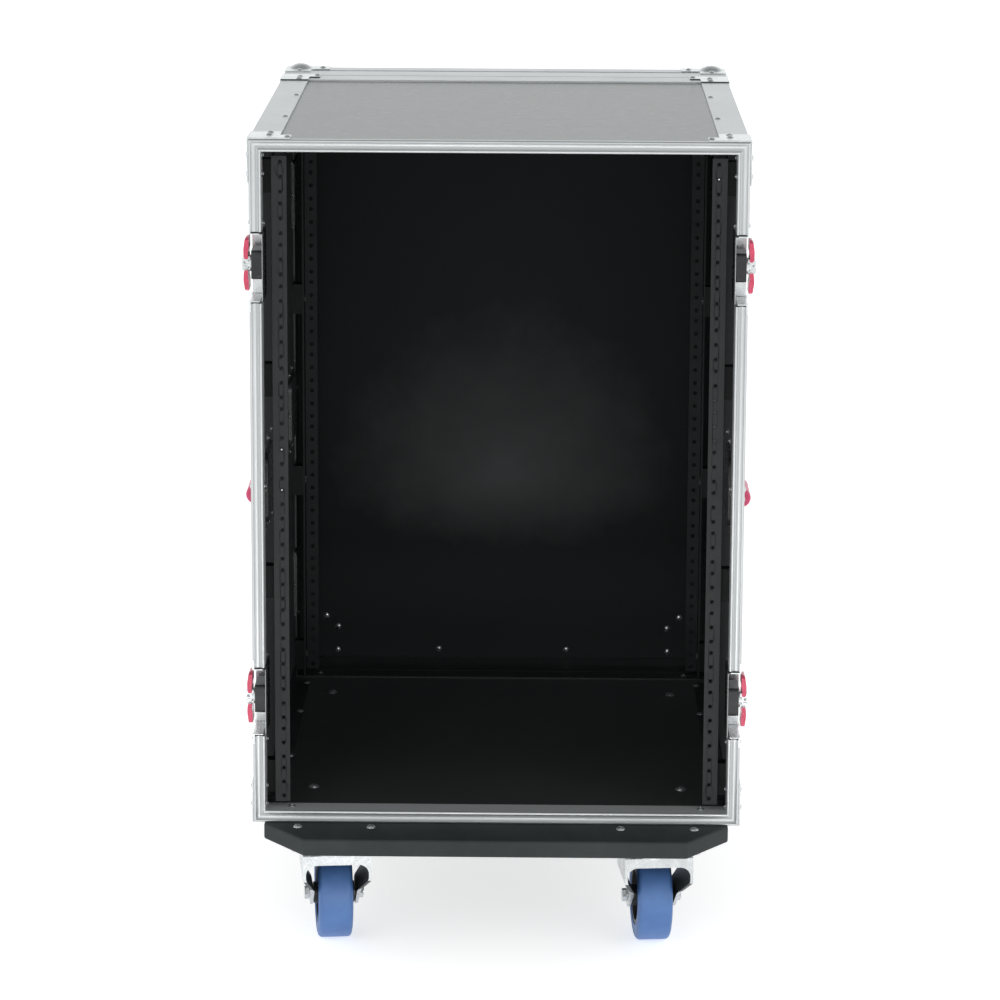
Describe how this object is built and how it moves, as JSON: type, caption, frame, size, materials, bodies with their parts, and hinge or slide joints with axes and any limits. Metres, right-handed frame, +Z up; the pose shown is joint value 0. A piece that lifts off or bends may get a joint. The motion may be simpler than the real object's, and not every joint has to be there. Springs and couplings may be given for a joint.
{
  "type": "equipment rack case",
  "caption": "Upright equipment rack road case with black laminate panels, aluminium edges, recessed latches and handles, rear lid on, front lid off, on a board with swivel casters.",
  "frame": {"origin": "on the floor, under the middle of the overall bounding box", "axes": "+X to the right facing the open front, +Y from the open front to the rear lid, +Z up"},
  "size_m": [0.55, 0.754, 0.904],
  "materials": {
    "black_laminate_ply": "black plastic laminate on plywood, satin",
    "aluminium_extrusion": "satin anodised, drawn lengthwise",
    "bright_zinc_steel": "bright zinc plate",
    "black_rail_steel": "black powder coat, satin",
    "black_spacer_plastic": "matte black",
    "black_mechanism_metal": "black, semi-gloss",
    "painted_board_ply": "black paint on plywood, fine texture",
    "red_wing_plastic": "red moulded wings on a zinc barrel",
    "red_grip_rubber": "red rubber grip",
    "blue_tread": "blue elastic rubber",
    "black_wheel_core": "dark moulded nylon"
  },
  "bodies": {
    "case": {"top_panel": "black_laminate_ply", "floor_panel": "black_laminate_ply", "left_side_panel": "black_laminate_ply", "right_side_panel": "black_laminate_ply", "edge_angles": "aluminium_extrusion", "front_rim": "aluminium_extrusion", "rear_rim": "aluminium_extrusion", "corner_braces": "bright_zinc_steel", "front_rack_rail_left": "black_rail_steel", "front_rack_rail_right": "black_rail_steel", "rear_rack_rails": "black_rail_steel", "rail_spacers": "black_spacer_plastic", "floor_angles": "black_rail_steel", "rivets": "bright_zinc_steel", "rail_screws": "bright_zinc_steel", "latch_dishes": "bright_zinc_steel", "latch_housings": "black_mechanism_metal", "handle_dishes": "bright_zinc_steel", "caster_board": "painted_board_ply", "board_bolts": "bright_zinc_steel", "caster_plates": "bright_zinc_steel"},
    "rear_lid": {"lid_panel": "black_laminate_ply", "lid_walls": "black_laminate_ply", "lid_rim": "aluminium_extrusion", "lid_edge_angles": "aluminium_extrusion", "lid_ball_corners": "bright_zinc_steel", "lid_latch_dishes": "bright_zinc_steel", "lid_rivets": "bright_zinc_steel"},
    "front_left_lower_latch": {"front_left_lower_latch": "red_wing_plastic"},
    "front_left_upper_latch": {"front_left_upper_latch": "red_wing_plastic"},
    "front_left_handle": {"front_left_handle_bail": "bright_zinc_steel", "front_left_handle_grip": "red_grip_rubber"},
    "front_left_caster_swivel": {"front_left_caster_fork": "bright_zinc_steel", "front_left_caster_axle": "bright_zinc_steel"},
    "front_left_caster_wheel": {"front_left_caster_hub": "black_wheel_core", "front_left_caster_tyre": "blue_tread"},
    "front_right_lower_latch": {"front_right_lower_latch": "red_wing_plastic"},
    "front_right_upper_latch": {"front_right_upper_latch": "red_wing_plastic"},
    "front_right_handle": {"front_right_handle_bail": "bright_zinc_steel", "front_right_handle_grip": "red_grip_rubber"},
    "front_right_caster_swivel": {"front_right_caster_fork": "bright_zinc_steel", "front_right_caster_axle": "bright_zinc_steel"},
    "front_right_caster_wheel": {"front_right_caster_hub": "black_wheel_core", "front_right_caster_tyre": "blue_tread"},
    "rear_left_lower_latch": {"rear_left_lower_latch": "red_wing_plastic"},
    "rear_left_upper_latch": {"rear_left_upper_latch": "red_wing_plastic"},
    "rear_left_handle": {"rear_left_handle_bail": "bright_zinc_steel", "rear_left_handle_grip": "red_grip_rubber"},
    "rear_left_caster_swivel": {"rear_left_caster_fork": "bright_zinc_steel", "rear_left_caster_axle": "bright_zinc_steel"},
    "rear_left_caster_wheel": {"rear_left_caster_hub": "black_wheel_core", "rear_left_caster_tyre": "blue_tread"},
    "rear_right_lower_latch": {"rear_right_lower_latch": "red_wing_plastic"},
    "rear_right_upper_latch": {"rear_right_upper_latch": "red_wing_plastic"},
    "rear_right_handle": {"rear_right_handle_bail": "bright_zinc_steel", "rear_right_handle_grip": "red_grip_rubber"},
    "rear_right_caster_swivel": {"rear_right_caster_fork": "bright_zinc_steel", "rear_right_caster_axle": "bright_zinc_steel"},
    "rear_right_caster_wheel": {"rear_right_caster_hub": "black_wheel_core", "rear_right_caster_tyre": "blue_tread"}
  },
  "joints": [
    {"name": "rear_lid_pull_off", "type": "slide", "parent": "case", "child": "rear_lid", "axis": [0, 1, 0], "range_m": [0, 0.12]},
    {"name": "front_left_lower_latch_turn", "type": "hinge", "parent": "case", "child": "front_left_lower_latch", "pos_m": [-0.262, -0.295, 0.2855], "axis": [1, 0, 0], "range_deg": [0, 180]},
    {"name": "front_left_upper_latch_turn", "type": "hinge", "parent": "case", "child": "front_left_upper_latch", "pos_m": [-0.262, -0.295, 0.7625], "axis": [1, 0, 0], "range_deg": [0, 180]},
    {"name": "front_left_handle_swing", "type": "hinge", "parent": "case", "child": "front_left_handle", "pos_m": [-0.2575, -0.222, 0.537], "axis": [0, 1, 0], "range_deg": [0, 90], "stiffness_Nm_per_rad": 0.15, "springref_deg": -17.19},
    {"name": "front_left_caster_swivel_turn", "type": "hinge", "parent": "case", "child": "front_left_caster_swivel", "pos_m": [-0.176, -0.3, 0.117], "axis": [0, 0, 1], "continuous": true},
    {"name": "front_left_caster_wheel_roll", "type": "hinge", "parent": "front_left_caster_swivel", "child": "front_left_caster_wheel", "pos_m": [-0.18075, -0.25827, 0.05], "axis": [0.9936, 0.1132, 0], "continuous": true},
    {"name": "front_right_lower_latch_turn", "type": "hinge", "parent": "case", "child": "front_right_lower_latch", "pos_m": [0.262, -0.295, 0.2855], "axis": [1, 0, 0], "range_deg": [0, 180]},
    {"name": "front_right_upper_latch_turn", "type": "hinge", "parent": "case", "child": "front_right_upper_latch", "pos_m": [0.262, -0.295, 0.7625], "axis": [1, 0, 0], "range_deg": [0, 180]},
    {"name": "front_right_handle_swing", "type": "hinge", "parent": "case", "child": "front_right_handle", "pos_m": [0.2575, -0.222, 0.537], "axis": [0, -1, 0], "range_deg": [0, 90], "stiffness_Nm_per_rad": 0.15, "springref_deg": -17.19},
    {"name": "front_right_caster_swivel_turn", "type": "hinge", "parent": "case", "child": "front_right_caster_swivel", "pos_m": [0.176, -0.3, 0.117], "axis": [0, 0, 1], "continuous": true},
    {"name": "front_right_caster_wheel_roll", "type": "hinge", "parent": "front_right_caster_swivel", "child": "front_right_caster_wheel", "pos_m": [0.17197, -0.25819, 0.05], "axis": [0.9954, 0.0958, 0], "continuous": true},
    {"name": "rear_left_lower_latch_turn", "type": "hinge", "parent": "case", "child": "rear_left_lower_latch", "pos_m": [-0.262, 0.265, 0.2855], "axis": [1, 0, 0], "range_deg": [0, 180]},
    {"name": "rear_left_upper_latch_turn", "type": "hinge", "parent": "case", "child": "rear_left_upper_latch", "pos_m": [-0.262, 0.265, 0.7625], "axis": [1, 0, 0], "range_deg": [0, 180]},
    {"name": "rear_left_handle_swing", "type": "hinge", "parent": "case", "child": "rear_left_handle", "pos_m": [-0.2575, 0.192, 0.537], "axis": [0, 1, 0], "range_deg": [0, 90], "stiffness_Nm_per_rad": 0.15, "springref_deg": -17.19},
    {"name": "rear_left_caster_swivel_turn", "type": "hinge", "parent": "case", "child": "rear_left_caster_swivel", "pos_m": [-0.176, 0.27, 0.117], "axis": [0, 0, 1], "continuous": true},
    {"name": "rear_left_caster_wheel_roll", "type": "hinge", "parent": "rear_left_caster_swivel", "child": "rear_left_caster_wheel", "pos_m": [-0.18075, 0.31173, 0.05], "axis": [0.9936, 0.1132, 0], "continuous": true},
    {"name": "rear_right_lower_latch_turn", "type": "hinge", "parent": "case", "child": "rear_right_lower_latch", "pos_m": [0.262, 0.265, 0.2855], "axis": [1, 0, 0], "range_deg": [0, 180]},
    {"name": "rear_right_upper_latch_turn", "type": "hinge", "parent": "case", "child": "rear_right_upper_latch", "pos_m": [0.262, 0.265, 0.7625], "axis": [1, 0, 0], "range_deg": [0, 180]},
    {"name": "rear_right_handle_swing", "type": "hinge", "parent": "case", "child": "rear_right_handle", "pos_m": [0.2575, 0.192, 0.537], "axis": [0, -1, 0], "range_deg": [0, 90], "stiffness_Nm_per_rad": 0.15, "springref_deg": -17.19},
    {"name": "rear_right_caster_swivel_turn", "type": "hinge", "parent": "case", "child": "rear_right_caster_swivel", "pos_m": [0.176, 0.27, 0.117], "axis": [0, 0, 1], "continuous": true},
    {"name": "rear_right_caster_wheel_roll", "type": "hinge", "parent": "rear_right_caster_swivel", "child": "rear_right_caster_wheel", "pos_m": [0.17197, 0.31181, 0.05], "axis": [0.9954, 0.0958, 0], "continuous": true}
  ]
}
